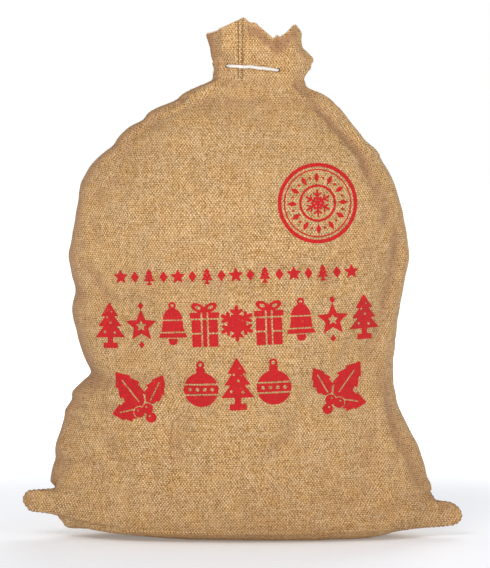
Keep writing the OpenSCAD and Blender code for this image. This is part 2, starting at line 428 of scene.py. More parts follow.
# ---------------------------------------------------------------- the drawstring
TAIL_X = {"left": 0.002, "right": 0.034}
TAIL_TOP = LOOP_BOX[0][2] - 0.0003
TAIL_BACK = BELLY_Y + 0.0028    # the free ends hang just clear of the belly
TAIL_SPREAD = 0.0125            # how far outwards each end has gone when it reaches its knot
KNOT_SIZE = 0.0098
TAIL_STEP, KNOT_STEP, LOOP_STEP = 0.0012, 0.0008, 0.0008
# A free end's way out of the back of the neck, down the shoulder and off the belly: outwards, back, down.
TAIL_WAY = ((0, 0.024, -0.0022), (0, 0.0285, -0.0018), (0, 0.0322, 0), (0, 0.0344, 0.0035),
            (0.0002, 0.0348, 0.0078), (0.0006, 0.0360, 0.0124), (0.0010, 0.0392, 0.0174),
            (0.0016, 0.0442, 0.0234), (0.0024, 0.0521, 0.0310), (0.0032, 0.0621, 0.0420),
            (0.0040, 0.0718, 0.0560), (0.0050, 0.0806, 0.0710), (0.0060, 0.0896, 0.0880),
            (0.0070, 0.0976, 0.1059), (0.0080, 0.1044, 0.1257), (0.0090, 0.1106, 0.1497),
            (0.0100, 0.1158, 0.1780), (0.0106, 0.1190, 0.2085), (0.0110, TAIL_BACK - 0.0004, 0.2385),
            (0.0114, TAIL_BACK, 0.2705), (0.0118, TAIL_BACK, 0.3025), (0.0120, TAIL_BACK, 0.3325),
            (0.0123, TAIL_BACK, 0.3785))


def tail_line(x0, side, z_end):
    way = [(x0 + side * out, back, TAIL_TOP - down) for out, back, down in TAIL_WAY]
    return resample(way + [(x0 + side * TAIL_SPREAD, TAIL_BACK, z_end)], TAIL_STEP)


def overhand(centre, size):
    """An overhand knot: the cord crosses itself three times and leaves below."""
    line = []
    for t in np.linspace(0.30, 2 * math.pi - 0.30, 90):
        x = math.sin(t) + 2 * math.sin(2 * t)
        y = math.cos(t) - 2 * math.cos(2 * t)
        z = -math.sin(3 * t)
        line.append((x * size * 0.155, z * size * 0.30, y * size * 0.155))
    return np.array(line) + centre


def brush(at, seed, count=46, length=0.0085, width=0.0026, radius=0.00028):
    """The loose cotton under a knot."""
    rnd = random.Random(seed)
    parts = []
    for _ in range(count):
        a = rnd.uniform(0, 2 * math.pi)
        r = rnd.uniform(0.1, 1) ** 0.5
        tip = rnd.uniform(0.7, 1.0) * length
        bow = rnd.uniform(-0.0006, 0.0006)
        pts = []
        for t in np.linspace(0, 1, 5):
            s = (0.45 + 0.55 * t) * width * r
            pts.append(at + [s * math.cos(a) + bow * math.sin(3 * t), s * math.sin(a), -tip * t])
        parts.append(tube(np.array(pts), radius, 5))
    return joined(parts)


TAILS = {}
for word, side in SIDES:
    low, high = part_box(word + "_knot")
    line = tail_line(TAIL_X[word], side, high[2] - 0.0012)
    tail = new_mesh(word + "_tail_cord", *rope(line, CORD / 2), COTTON)
    knot_at = np.array([line[-1, 0], TAIL_BACK, (low[2] + high[2]) / 2 + 0.0045])
    stub = np.array([knot_at - [0, 0, 0.002 + 0.0013 * i] for i in range(7)])
    knot = new_mesh(word + "_knot_cord", *joined([
        rope(resample(overhand(knot_at, KNOT_SIZE), KNOT_STEP), CORD * 0.44),
        rope(stub, CORD / 2),
        brush(stub[-1], seed=5 + side)]), COTTON)
    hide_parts(word + "_tail")
    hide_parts(word + "_knot")
    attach(knot, "drawstring_ends")
    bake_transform(tail)
    TAILS[word] = line


# ---------------------------------------------------------------- the filled shape
body_trees = [tree_of([v.co for v in NODES[name].data.vertices], NODES[name].data)
              for name in ("front_panel", "back_panel")]
INSIDE_X = 0.02         # a place that is inside the sack at every level


def cad_hit(x, z, angle):
    """Where a level line coming in from outside first meets the CAD cloth."""
    d = Vector((math.cos(angle), math.sin(angle), 0))
    return first_hit(body_trees, Vector((x, 0, z)) + d * 0.5, -d, 0.6)[0]


def cad_profile(z):
    """Left edge, right edge and half depth of the CAD cloth at one level."""
    left = cad_hit(INSIDE_X, z, math.pi - 0.002).x
    right = cad_hit(INSIDE_X, z, 0.002).x
    return left, right, -cad_hit((left + right) / 2, z, -math.pi / 2).y


LEVEL_STEP = 0.002
levels = np.arange(0.0006, NECK_Z - 0.0006, LEVEL_STEP)
profile = np.array([cad_profile(z) for z in levels])


def soften(values, width):
    """Smooths a list of values, one for each level, over a width in metres."""
    n = int(3 * width / LEVEL_STEP)
    weight = np.exp(-0.5 * (np.arange(-n, n + 1) * LEVEL_STEP / width) ** 2)
    before = 2 * values[0] - values[n:0:-1]
    after = 2 * values[-1] - values[-2:-n - 2:-1]
    return np.convolve(np.concatenate([before, values, after]), weight / weight.sum(), mode="valid")


smooth_profile = profile.copy()
off_floor = smoothstep(0.012, 0.035, levels)
for k in range(3):
    smooth_profile[:, k] = off_floor * soften(profile[:, k], 0.0030) + (1 - off_floor) * profile[:, k]
# Small dents and swellings in the outline: level, how far in, half height. The first one on the left is
# the sharp crease below the widest part.
LEFT_DENTS = ((0.1865, 0.0078, 0.0085), (0.4755, 0.0060, 0.0050), (0.4975, 0.0055, 0.0050),
              (0.5200, 0.0050, 0.0040), (0.0900, 0.0022, 0.0060), (0.0585, 0.0020, 0.0035),
              (0.2800, 0.0032, 0.0110), (0.0100, -0.0115, 0.0065), (0.1450, -0.0025, 0.0060),
              (0.4460, 0.0034, 0.0070), (0.1660, -0.0040, 0.0055))
RIGHT_DENTS = ((0.5115, 0.0062, 0.0042), (0.4930, 0.0022, 0.0040), (0.5335, -0.0032, 0.0055),
               (0.0100, 0.0020, 0.0060), (0.4390, -0.0032, 0.0080), (0.0570, -0.0045, 0.0060))
for column, sign, dents in ((0, 1, LEFT_DENTS), (1, -1, RIGHT_DENTS)):
    for level, depth, half in dents:
        smooth_profile[:, column] += sign * depth * hill(levels, level, half)


def profile_at(z):
    """Left edge, right edge and half depth of the smoothed outline at one level."""
    return [float(np.interp(z, levels, smooth_profile[:, k])) for k in range(3)]


# The free edge of the ruffle: share of its width from the left, share of its height.
EDGE = ((0.0, 0.625), (0.09, 0.69), (0.22, 0.845), (0.353, 0.996), (0.385, 0.93), (0.41, 0.885),
        (0.465, 0.875), (0.487, 0.82), (0.55, 0.68), (0.622, 0.535), (0.640, 0.525),
        (0.655, 0.57), (0.667, 0.605), (0.682, 0.56), (0.70, 0.555), (0.755, 0.66), (0.785, 0.74),
        (0.815, 0.81), (0.845, 0.825), (0.868, 0.80), (0.886, 0.70), (0.90, 0.62), (1.0, 0.60))
# How wide the ruffle stands: share of its height, left edge, right edge.
FLARE = ((0.0, -0.0335, 0.0806), (0.10, -0.0345, 0.0804), (0.22, -0.0355, 0.0775),
         (0.38, -0.0358, 0.0722), (0.50, -0.0362, 0.0682), (0.70, -0.0380, 0.0665),
         (1.0, -0.0405, 0.0668))
LIP_LOW, LIP_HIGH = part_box("ruffle_front")


def from_table(table, at, column=1):
    return float(np.interp(at, [row[0] for row in table], [row[column] for row in table]))


def edge_level(x):
    """The level of the ruffle's free edge at x."""
    share = from_table(EDGE, (x - LIP_LOW[0]) / (LIP_HIGH[0] - LIP_LOW[0]))
    return LIP_LOW[2] + share * (LIP_HIGH[2] - LIP_LOW[2])


# The flat corners: share of the corner's height, share of how far it sticks out.
EARS = {"left": ((-0.03, 0.0), (0.005, 0.36), (0.03, 0.64), (0.10, 0.78), (0.25, 0.88), (0.40, 0.965),
                 (0.54, 1.0), (0.68, 0.975), (0.80, 0.92), (0.90, 0.84), (0.965, 0.73), (0.99, 0.30),
                 (1.02, 0.0)),
        "right": ((-0.05, 0.0), (-0.01, 0.60), (0.03, 0.80), (0.10, 0.90), (0.18, 0.965), (0.28, 1.0),
                  (0.40, 0.985), (0.52, 0.92), (0.62, 0.82), (0.70, 0.68), (0.745, 0.52),
                  (0.775, 0.28), (0.82, 0.19), (0.92, 0.14), (1.05, 0.05), (1.16, 0.0))}


def corner_root(word, sign):
    """Where a flat corner leaves the body, and its middle level."""
    low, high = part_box(word + "_corner")
    return (high if sign < 0 else low)[0], (low[2] + high[2]) / 2


def ear_edge(z, word, sign):
    """Where a corner's tip reaches at one level, and the share of its full reach."""
    low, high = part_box(word + "_corner")
    out = from_table(EARS[word], (z - low[2]) / (high[2] - low[2]))
    return corner_root(word, sign)[0] + sign * out * (high[0] - low[0]), out


# ---------------------------------------------------------------- the cloth as one grid
# The columns, as shares of the way from the left seam to the right, stand closer near the seams.
HALF = 0.49             # about half the girth
near_seam = np.arange(0, 0.026, 0.002)
between_seams = np.linspace(0.0282, HALF - 0.0282, 102)
COLS = np.concatenate([near_seam, between_seams, HALF - near_seam[::-1]]) / HALF
NF = len(COLS) - 1      # the last column of the front half
FLOOR_Z = 0.0007
EAR_ROOM = 0.034        # how much cloth beside the seam is drawn out into a flat corner


def half_section(left, right, depth):
    """The front half of one level: x, y and distance along it at each column."""
    a, c, e = (right - left) / 2, (left + right) / 2, 2 / SQUARE
    t = np.linspace(math.pi, 2 * math.pi, 361)
    x = c + a * np.sign(np.cos(t)) * np.abs(np.cos(t)) ** e
    y = -depth * np.abs(np.sin(t)) ** e
    s = distances(np.stack([x, y], 1))
    want = COLS * s[-1]
    return np.interp(want, s, x), np.interp(want, s, y), want


def mirrored(rows_of_front):
    """The front's rows carried on round the back, from the right edge to the left."""
    return np.concatenate([rows_of_front, rows_of_front[:, NF - 1:0:-1]], axis=1)


row_z = np.concatenate([
    [FLOOR_Z], np.arange(0.003, 0.062, 0.0016), np.arange(0.064, 0.40, 0.0034),
    np.arange(0.4, 0.519, 0.0026), np.arange(0.520, NECK_Z - 0.0006, 0.0013)])
rows, lengths, stages, corner_rows = [], [], [], []


def add_row(x, y, z, length, stage, corner=0.0):
    """stage is below 0 on the floor, 0 on the body and 1 to 2 up the ruffle; corner says how far each
    place belongs to a flat corner."""
    rows.append(np.stack([x, y, np.broadcast_to(z, x.shape)], 1))
    lengths.append(length)
    stages.append(stage)
    corner_rows.append(np.broadcast_to(corner, x.shape))


x, y, s = half_section(*profile_at(FLOOR_Z))
for share in np.linspace(0.0, 1.0, 9)[:-1]:
    add_row(x, y * share, FLOOR_Z, s[-1], share - 1.0)
first_body = len(rows)
for z in row_z:
    left, right, depth = profile_at(z)
    x, y, s = half_section(left, right, depth)
    corner = np.zeros(NF + 1)
    for (word, sign), away, side in zip(SIDES, (s, s[-1] - s), (left, right)):
        tip, out = ear_edge(z, word, sign)
        reach = sign * (tip - side)
        if out <= 0 or reach <= 0:
            continue
        g = np.clip(1 - away / EAR_ROOM, 0, 1) ** 2.3
        corner = np.maximum(corner, smoothstep(0.075, 0.035, away) * smoothstep(0.0, 0.10, out))
        x = x + sign * reach * g
        y = y * (1 - 0.45 * g)
    add_row(x, y, z, s[-1], 0.0, corner)
first_lip = len(rows)
for share in np.linspace(0, 1, 19):
    x, y, s = half_section(from_table(FLARE, share), from_table(FLARE, share, 2),
                           NECK_HALF + 0.006 * share)
    z = np.array([LIP_LOW[2] + share * (edge_level(k) - LIP_LOW[2]) for k in x])
    add_row(x, y, z, s[-1], 1.0 + share)

front = np.array(rows)
# the ring runs along the front from left to right and returns along the back
ring = mirrored(front)
ring[:, NF + 1:, 1] *= -1
NC = ring.shape[1]
CORNER = np.array(corner_rows)
CORNER_RING = mirrored(CORNER)
CORNER_Z = 0.040        # the level where the flat corners' weave meets the body's
STAGE = np.array(stages)
lip_rows, floor_rows = STAGE >= 1, STAGE < 0
# how far up the cloth each place is: along its middle on the body, and by its level on the ruffle
UP_MIDDLE = distances(front[:, NF // 2])
height_up = np.repeat(UP_MIDDLE[:, None], NF + 1, 1)
height_up[first_lip:] = UP_MIDDLE[first_lip] + front[first_lip:, :, 2] - LIP_LOW[2]


def ring_normals(g):
    """The outward direction at each place of the ring."""
    across = np.roll(g, -1, 1) - np.roll(g, 1, 1)
    up = np.gradient(g, axis=0)
    n = np.cross(across, up)
    n /= np.maximum(np.linalg.norm(n, axis=2), 1e-9)[:, :, None]
    return n


X, Y, Z = ring[:, :, 0], ring[:, :, 1], ring[:, :, 2]
mid_x = (ring[:, 0, 0] + ring[:, NF, 0])[:, None] / 2
wide = (ring[:, NF, 0] - ring[:, 0, 0])[:, None] / 2
deep = np.abs(ring[:, NF // 2, 1])[:, None]
ANGLE = np.arctan2(Y / np.maximum(deep, 1e-4), (X - mid_x) / np.maximum(wide, 1e-4))
FACING = np.clip(-np.sin(ANGLE), -1, 1)      # 1 in front, -1 behind, 0 at the sides
SIDE = np.abs(np.cos(ANGLE))


def noise_field(points, scale, seed):
    """Soft noise from about -1 to 1 at each place; scale is the size of its lumps in metres."""
    flat = points.reshape(-1, 3) / scale + seed * 17.3
    return np.array([noise.noise(Vector(p)) for p in flat]).reshape(points.shape[:2])


# ---------------------------------------------------------------- folds
# how deep each kind is
BIG_LUMPS, SMALL_LUMPS, FINE = 0.0060, 0.0022, 0.0007
GATHERS = 0.0031
CORNER_CREASES = 0.0021
RIGHT_FOLD, LEFT_FOLD, CORNER_FOLD = 0.0026, 0.0012, 0.0014
PINCH = 0.0016
FOLD_WIDTH = 0.0055
body = (~lip_rows & ~floor_rows)[:, None]
filled = band(Z, 0.03, 0.50, 0.07, 0.08)
edge_calm = 1 - 0.75 * smoothstep(0.80, 0.98, SIDE)
lumps = BIG_LUMPS * noise_field(ring * [1, 1.3, 1], 0.120, 1) + SMALL_LUMPS * noise_field(ring, 0.055, 2)
lumps = lumps * filled * edge_calm      # the fill shows as soft lumps, less so at the outline

# gathers run out of the neck and die away down the shoulders: broad crests, sharp valleys
gather = np.zeros_like(Z)
for k, size, reach, phase in ((8, 1.0, 0.370, 0.4), (13, 1.0, 0.405, 1.9), (19, 0.8, 0.450, 3.1),
                              (27, 0.5, 0.490, 5.0)):
    sway = 0.10 * np.sin(Z * 23 + k) + 0.05 * np.sin(Z * 61 + 2 * k)
    gather += size * (2 * np.abs(np.cos((k * (ANGLE + sway) + phase) / 2)) - 1.27) \
        * smoothstep(reach, 0.530, Z)
behind = smoothstep(-0.30, 0.35, -FACING)
tight = (0.42 + 0.58 * behind) * (1 - 0.72 * smoothstep(0.35, 0.95, FACING)) \
    * (1 - 0.9 * smoothstep(0.80, 0.98, SIDE))
gather = gather * GATHERS * tight

# a long soft fold runs down a little inside the right outline, and a weaker one inside the left
inset_left, inset_right = X - front[:, :1, 0], front[:, -1:, 0] - X
wander = 0.0030 * np.sin(Z * 31 + 1.0) + 0.0022 * np.sin(Z * 67)
right_strength = np.interp(Z, (0.05, 0.16, 0.22, 0.37, 0.42, 0.50), (0.9, 0.85, 0.40, 0.40, 1.0, 1.0))
left_strength = np.interp(Z, (0.05, 0.12, 0.20, 0.30, 0.38), (0.8, 0.3, 0.8, 0.3, 0.0))
between = band(Z, 0.05, 0.525, 0.04, 0.025)
right_band = hill(inset_right, 0.0145 + wander, FOLD_WIDTH) * between * right_strength
left_band = hill(inset_left, 0.0120 - wander, FOLD_WIDTH) * between * left_strength
# it ends in the right corner
corner_x = np.interp(Z, (0.030, 0.048, 0.076, 0.095), (0.2350, 0.2225, 0.2140, 0.2075))
corner_fold = hill(X, corner_x, 0.0050) * band(Z, 0.026, 0.095, 0.010, 0.020) * (Y < 0)
long_folds = RIGHT_FOLD * right_band + LEFT_FOLD * left_band + CORNER_FOLD * corner_fold

# creases fan out of the two corners
fan = np.zeros_like(Z)
for word, sign in SIDES:
    root_x, root_z = corner_root(word, sign)
    dx, dz = (X - root_x - sign * 0.004) * -sign, Z - root_z
    dist = np.sqrt(dx ** 2 + dz ** 2 + (Y * 0.6) ** 2)
    bearing = np.arctan2(dz, np.maximum(dx, 1e-4) + 0.5 * np.abs(Y))
    fan += CORNER_CREASES * np.cos(9.0 * bearing + 0.8 + 12 * dist) * band(dist, 0.004, 0.13, 0.018, 0.10)
fine = FINE * noise_field(ring * [1, 1, 1.6], 0.022, 5) * body

shift = lumps + (gather + fan * (1 - CORNER_RING) - long_folds) * body + fine * (1 - 0.7 * CORNER_RING)
lip_share = (STAGE[first_lip:] - 1)[:, None]     # 0 at the cord, 1 at the free edge
shift[first_lip:] = gather[first_lip - 1] * (1 + 0.4 * lip_share)
# the cord draws the neck in a little
pinch = PINCH * hill(Z, (LOOP_BOX[0][2] + LOOP_BOX[1][2]) / 2, 0.0055)
shift = shift - pinch * (1 - 0.6 * smoothstep(0.5, 0.95, FACING))
shaped = ring + ring_normals(ring) * shift[:, :, None]


# ---------------------------------------------------------------- cloth simulation
FRAMES = 18
MOST_MOVE = 0.009       # no point may move farther than this
SLACK = (1.07, 1.07, 1.05)      # how much larger than its shape the cloth is cut
JUTE = {"quality": 6, "mass": 0.25, "tension_stiffness": 18, "compression_stiffness": 9,
        "shear_stiffness": 6, "bending_stiffness": 0.15, "use_pressure": True,
        "uniform_pressure_force": 1.6, "vertex_group_mass": "held", "pin_stiffness": 1.5,
        "time_scale": 0.7}


def settle(grid, pin):
    """Blows the sack up gently from a slightly slack start, so that it creases by itself. It runs on
    every other row and column, and gives how far each place of the whole grid moves."""
    r_idx, c_idx = (np.arange(0, count, 2) for count in grid.shape[:2])
    g = grid[r_idx][:, c_idx]
    nr, nc = g.shape[:2]
    obj = new_mesh("settling", g.reshape(-1, 3), grid_faces(nr, nc, closed=True))
    obj.shape_key_add(name="Basis")
    slack = obj.shape_key_add(name="slack")
    middle = g.mean(axis=1, keepdims=True) * [1, 0, 0]
    slack.data.foreach_set("co", (middle + (g - middle) * SLACK).reshape(-1).astype(np.float32))
    group = obj.vertex_groups.new(name="held")
    weights = pin[r_idx][:, c_idx].reshape(-1)
    for value in (0.15, 0.35, 0.6, 0.85, 1.0):
        chosen = [int(i) for i in np.where(np.abs(weights - value) < 0.13)[0]]
        group.add(chosen, value, "REPLACE")
    mod = obj.modifiers.new("cloth", "CLOTH")
    for key, value in JUTE.items():
        setattr(mod.settings, key, value)
    mod.settings.rest_shape_key = slack
    mod.settings.effector_weights.gravity = 0.15
    mod.collision_settings.use_collision = False
    mod.point_cache.frame_start = 1
    mod.point_cache.frame_end = FRAMES
    for f in range(1, FRAMES + 1):
        bpy.context.scene.frame_set(f)
    dg = bpy.context.evaluated_depsgraph_get()
    done = np.array([v.co for v in obj.evaluated_get(dg).data.vertices]).reshape(nr, nc, 3)
    bpy.context.scene.frame_set(1)
    bpy.data.objects.remove(obj)
    d = done - g
    size = np.linalg.norm(d, axis=2, keepdims=True)
    d = d * np.minimum(1, MOST_MOVE / np.maximum(size, 1e-9))
    d = np.concatenate([d, d[:, :1]], axis=1)
    for axis, known in ((1, np.append(c_idx, grid.shape[1])), (0, r_idx)):
        every = np.arange(grid.shape[axis])
        d = np.apply_along_axis(lambda line: np.interp(every, known, line), axis, d)
    return d


# the neck, the base, the corners and, more loosely, the side seams are held
take = np.arange(first_body, first_lip)
zt = Z[take]
pin = np.maximum(smoothstep(0.500, 0.522, zt), 1 - smoothstep(0.004, 0.016, zt))
for word, sign in SIDES:
    root_x, root_z = corner_root(word, sign)
    near = smoothstep(-0.012, 0.004, (X[take] - root_x) * sign) \
        * (1 - smoothstep(0.0, 0.02, np.abs(zt - root_z) - 0.014))
    pin = np.maximum(pin, near)
pin = np.maximum(pin, 0.6 * smoothstep(0.93, 0.99, SIDE[take]))
moved = settle(shaped[take], pin)
shaped[take] += moved
print("settled: mean move %.2f mm" % (1000 * np.linalg.norm(moved, axis=2).mean()))

# the cloth gives way under the two free ends of the cord
for line in TAILS.values():
    x, y, z = line[np.argsort(line[:, 2])].T
    at_z = shaped[:, :, 2]
    off = np.abs(shaped[:, :, 0] - np.interp(at_z, z, x))
    limit = np.interp(at_z, z, y) - CORD / 2 - 0.0001 + 0.10 * np.maximum(off - 0.0020, 0) \
        + 96.0 * np.maximum(off - 0.006, 0) ** 2
    under = (FACING < 0) & (at_z > z[0] - 0.03) & (at_z < LOOP_BOX[0][2] - 0.004) & (off < 0.03)
    shaped[:, :, 1] = np.where(under, np.minimum(shaped[:, :, 1], limit), shaped[:, :, 1])

# the lowest cloth lies on the floor
LOWEST = 0.0005
shaped[:, :, 2] = np.maximum(shaped[:, :, 2], LOWEST)

# the side seams: a shallow groove with a slight ridge on each side of it
across = mirrored(COLS[None, :])
from_seam = np.minimum(across, 1 - across) * np.array(lengths)[:, None]
groove = -0.0011 * hill(from_seam, 0, 0.0016) + 0.0006 * hill(from_seam, 0.005, 0.002)
shaped += ring_normals(shaped) * (groove * (1 - CORNER_RING) * (~floor_rows)[:, None])[:, :, None]


# ---------------------------------------------------------------- the ruffle's own folds
# The front half is nearly flat, with a sharp turn back at its left; lip is a part of shaped itself.
RIDGE_X = -0.0235       # where it turns
RIDGE_RUN = 0.0165      # from the turn to the left edge
EDGE_VALLEY = 0.0030    # depth of the valley below the free edge
lip = shaped[first_lip:]
lx, ly, lz = lip[:, :, 0], lip[:, :, 1], lip[:, :, 2]
in_front = FACING[first_lip:] > 0
flat_y = -0.0315 - 0.0045 * lip_share
past_ridge = np.clip((RIDGE_X - lx) / RIDGE_RUN, 0, 1)
turned = flat_y + 0.0130 * smoothstep(0.0, 0.20, past_ridge) + 0.020 * past_ridge ** 1.6
target = np.where(lx < RIDGE_X, turned, flat_y - 0.0012 * hill(lx, RIDGE_X, 0.003))
mixing = 0.92 * smoothstep(0.02, 0.35, lip_share) * (1 - smoothstep(0.054, 0.0665, lx))
ly = np.where(in_front, ly + (np.minimum(target, ly * 0.2) - ly) * mixing, ly)
# a soft valley follows the free edge where it dips
dip = hill(lz[-1] - lz, 0.010, 0.0055) * band(lx, 0.0, 0.064, 0.010, 0.008)
dip += 0.6 * hill(lx, 0.041 + 0.25 * (lz - 0.56), 0.0045) * smoothstep(0.0, 0.4, lip_share)
lip[:, :, 1] = np.where(in_front, ly + EDGE_VALLEY * dip, ly)


# ---------------------------------------------------------------- where the cord touches the cloth
STITCH_LEFT, STITCH_RIGHT = (-0.0172, 0.5367), (0.0402, 0.5316)
STITCH_RISE = 0.0011    # how far the cord in sight bows up in the middle
CORD_BED = 0.0015       # how deep it lies in the cloth
TAIL_HOLES = [(x, LOOP_BOX[0][2]) for x in TAIL_X.values()]


def stitch_level(t):
    """The level of the cord in sight, t from 0 at its left hole to 1 at its right."""
    return STITCH_LEFT[1] + t * (STITCH_RIGHT[1] - STITCH_LEFT[1]) + STITCH_RISE * np.sin(math.pi * t)


# the cord dents the cloth where it dives in, and lies in a shallow groove between
sx, sz = shaped[:, :, 0], shaped[:, :, 2]
dent = np.zeros_like(sx)
for holes, depth, width, side in (((STITCH_LEFT, STITCH_RIGHT), 0.0026, 0.0034, 1),
                                  (TAIL_HOLES, 0.0018, 0.0040, -1)):
    for x, z in holes:
        dent += depth * hill(sx, x, width) * hill(sz, z, width) * (FACING * side > 0)
t = np.clip((sx - STITCH_LEFT[0]) / (STITCH_RIGHT[0] - STITCH_LEFT[0]), 0, 1)
bed = hill(sz, stitch_level(t) - 0.0006, 0.0025) * np.sin(math.pi * t) ** 0.3
dent += CORD_BED * bed * (FACING > 0)
shaped = shaped - ring_normals(shaped) * dent[:, :, None]


# ---------------------------------------------------------------- the two panels
def calm_rows(values):
    """Each row as the mean of itself and its two neighbours."""
    ends = np.concatenate([values[:1], values, values[-1:]])
    return (ends[:-2] + ends[1:-1] + ends[2:]) / 3


def calm_grid(values, times):
    """Evens out values along both ways of the ring."""
    for _ in range(times):
        values = calm_rows((values + np.roll(values, 1, 1) + np.roll(values, -1, 1)) / 3)
    return values


def fold_shade_map():
    """How much painted shade each place gets, 0 to 1: in the bottoms of folds and along the long folds,
    along the left edge and on the ruffle's turned part."""
    n = ring_normals(shaped)
    step = 3
    level = (np.roll(shaped, step, 1) + np.roll(shaped, -step, 1)) / 2 - shaped
    rows_pad = np.concatenate([shaped[:1]] * step + [shaped] + [shaped[-1:]] * step)
    upright = (rows_pad[:-2 * step] + rows_pad[2 * step:]) / 2 - shaped
    deep = np.maximum((level * n).sum(2), (upright * n).sum(2))
    deep = calm_grid(deep, 2)
    deep = deep - calm_grid(deep, 14)
    valley = smoothstep(0.00005, 0.0011, deep)
    # painted shade along the left outline
    left_rim_shade = hill(inset_left, 0, 0.0085) * smoothstep(0.02, 0.05, Z)
    out = np.clip(0.55 * valley + 0.90 * right_band + 0.35 * left_band + 0.75 * left_rim_shade
                  + 0.95 * corner_fold, 0, 1)
    # painted shade in the soft valley below the ruffle's free edge
    out[first_lip:] = np.maximum(out[first_lip:] * 0.6, np.clip(1.25 * dip, 0, 1) * in_front)
    # painted shade on the ruffle's turned-back left part
    shade = (1 - smoothstep(0.25, 1.0, (lx - (RIDGE_X - RIDGE_RUN)) / RIDGE_RUN)) * in_front
    out[first_lip:] = np.maximum(out[first_lip:], shade)
    return calm_grid(out, 1)


def weave_lines(grid):
    """Weave coordinates in metres: along each row from the middle, and up. On the flat corners they
    run straight across, as the cloth there lies flat."""
    d = np.diff(grid, axis=1)
    flat_part = (CORNER[:, 1:] + CORNER[:, :-1]) / 2
    steps = np.sqrt(d[:, :, 0] ** 2 + (1 - flat_part) ** 2 * (d[:, :, 1] ** 2 + d[:, :, 2] ** 2))
    along = np.concatenate([np.zeros((len(grid), 1)), np.cumsum(steps, axis=1)], axis=1)
    middle = np.array([np.interp(0.0, grid[i, :, 0], along[i]) for i in range(len(grid))])
    u = along - middle[:, None]
    for _ in range(5):
        u = u + (calm_rows(u) - u) * body * (1 - CORNER)
    level = grid[:, :, 2] - CORNER_Z + np.interp(CORNER_Z, row_z, UP_MIDDLE[first_body:first_lip])
    return u, height_up * (1 - CORNER) + level * CORNER


def sheet_mesh(name, grid, u, v, fold_shade, flip):
    """One panel; flip turns its faces round, and the painted shade given with it darkens the bottoms of
    its folds, the left outline and the ruffle's turned-back part.
    """
    faces = grid_faces(*grid.shape[:2])
    obj = new_mesh(name, grid.reshape(-1, 3), [q[::-1] for q in faces] if flip else faces, HESSIAN)
    set_weave(obj, np.stack([u.reshape(-1), v.reshape(-1)], 1))
    tint = obj.data.attributes.new("fold_shade", "FLOAT", "POINT")
    tint.data.foreach_set("value", fold_shade.astype(np.float32).reshape(-1))
    return obj


def thicken(obj, thickness, offset=-1.0):
    mod = obj.modifiers.new("thickness", "SOLIDIFY")
    mod.thickness = thickness
    mod.offset = offset
    mod.use_even_offset = False
    return obj


def front_half(ring_values):
    return ring_values[:, :NF + 1]


def back_half(ring_values):
    """The back's columns from left to right, the two side seams included."""
    return np.concatenate([ring_values[:, :1], ring_values[:, :NF - 1:-1]], axis=1)


front_grid, back_grid = front_half(shaped), back_half(shaped)
# painted shade for the bottoms of folds, the left outline and the ruffle's turned-back part
fold_shade = fold_shade_map()
U_front, V_front = weave_lines(front_grid)
front_sheet = sheet_mesh("front_cloth", front_grid, U_front, V_front, front_half(fold_shade), False)
back_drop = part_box("ruffle_front")[1][2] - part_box("ruffle_back")[1][2]
back_grid[first_lip:, :, 2] -= back_drop * lip_share \
    * smoothstep(0, 0.25, np.abs(front_half(FACING)[first_lip:]))
U_back, V_back = weave_lines(back_grid)
back_sheet = sheet_mesh("back_cloth", back_grid, U_back + 0.31, V_back + 0.0011, back_half(fold_shade), True)
for piece in (front_sheet, back_sheet):
    thicken(piece, CLOTH)
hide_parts("front_panel", "ruffle_front", "left_corner", "right_corner")
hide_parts("back_panel", "ruffle_back")


def blend_lip(obj):
    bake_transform(obj)


def blend_front(obj):
    blend_lip(obj)


def blend_back(obj):
    blend_lip(obj)


blend_front(front_sheet)
blend_back(back_sheet)
front_tree = tree_of(front_grid.reshape(-1, 3), front_sheet.data)
back_tree = tree_of(back_grid.reshape(-1, 3), back_sheet.data)


# ---------------------------------------------------------------- places on the cloth
def on_cloth(tree, side, x, z, out):
    """The point on the front (side -1) or back (side 1) cloth at (x, z), lifted off it by out."""
    hit = tree.ray_cast(Vector((x, 0.5 * side, z)), Vector((0, -side, 0)), 1.0)
    if hit[0] is None:
        return None
    n = hit[1] if hit[1].y * side > 0 else -hit[1]
    return hit[0] + n * out


def on_front(x, z, out):
    return on_cloth(front_tree, -1, x, z, out)


def on_back(x, z, out):
    return on_cloth(back_tree, 1, x, z, out)


def weave_uv(x, z):
    """The weave's own coordinates at a place on the front."""
    level = front_grid[:, NF // 2, 2]
    i = int(np.argmin(np.abs(level - z)))
    on_body = slice(first_body, first_lip)
    return (float(np.interp(x, front_grid[i, :, 0], U_front[i])),
            float(np.interp(z, level[on_body], UP_MIDDLE[on_body])))


# ---------------------------------------------------------------- the red print
# Motifs are drawn as distances: below zero is ink. All sizes are millimetres on the cloth.
def either(*shapes):
    return np.minimum.reduce(shapes)


def less(a, b):
    return np.maximum(a, -b)


def disc(x, z, r):
    return np.hypot(x, z) - r


def discs(x, z, places):
    return either(*[disc(x - px, z - pz, r) for px, pz, r in places])


def ring_of(x, z, r, hole):
    return less(disc(x, z, r), disc(x, z, hole))


def stripe(x, at, half):
    return np.abs(x - at) - half


def diamond(x, z, half_width, half_height, slope):
    return (np.abs(x) / half_width + np.abs(z) / half_height - 1) * slope


def stroke(x, z, x0, z0, x1, z1, w):
    px, pz = x - x0, z - z0
    dx, dz = x1 - x0, z1 - z0
    t = np.clip((px * dx + pz * dz) / (dx * dx + dz * dz), 0, 1)
    return np.hypot(px - dx * t, pz - dz * t) - w / 2


def block(x, z, x0, z0, x1, z1):
    return np.maximum(stripe(x, (x0 + x1) / 2, (x1 - x0) / 2), stripe(z, (z0 + z1) / 2, (z1 - z0) / 2))


def triangle(x, z, w, z0, z1):
    slope = (w / 2) / (z1 - z0)
    return np.maximum((np.abs(x) - (z1 - z) * slope) / math.hypot(1, slope), z0 - z)


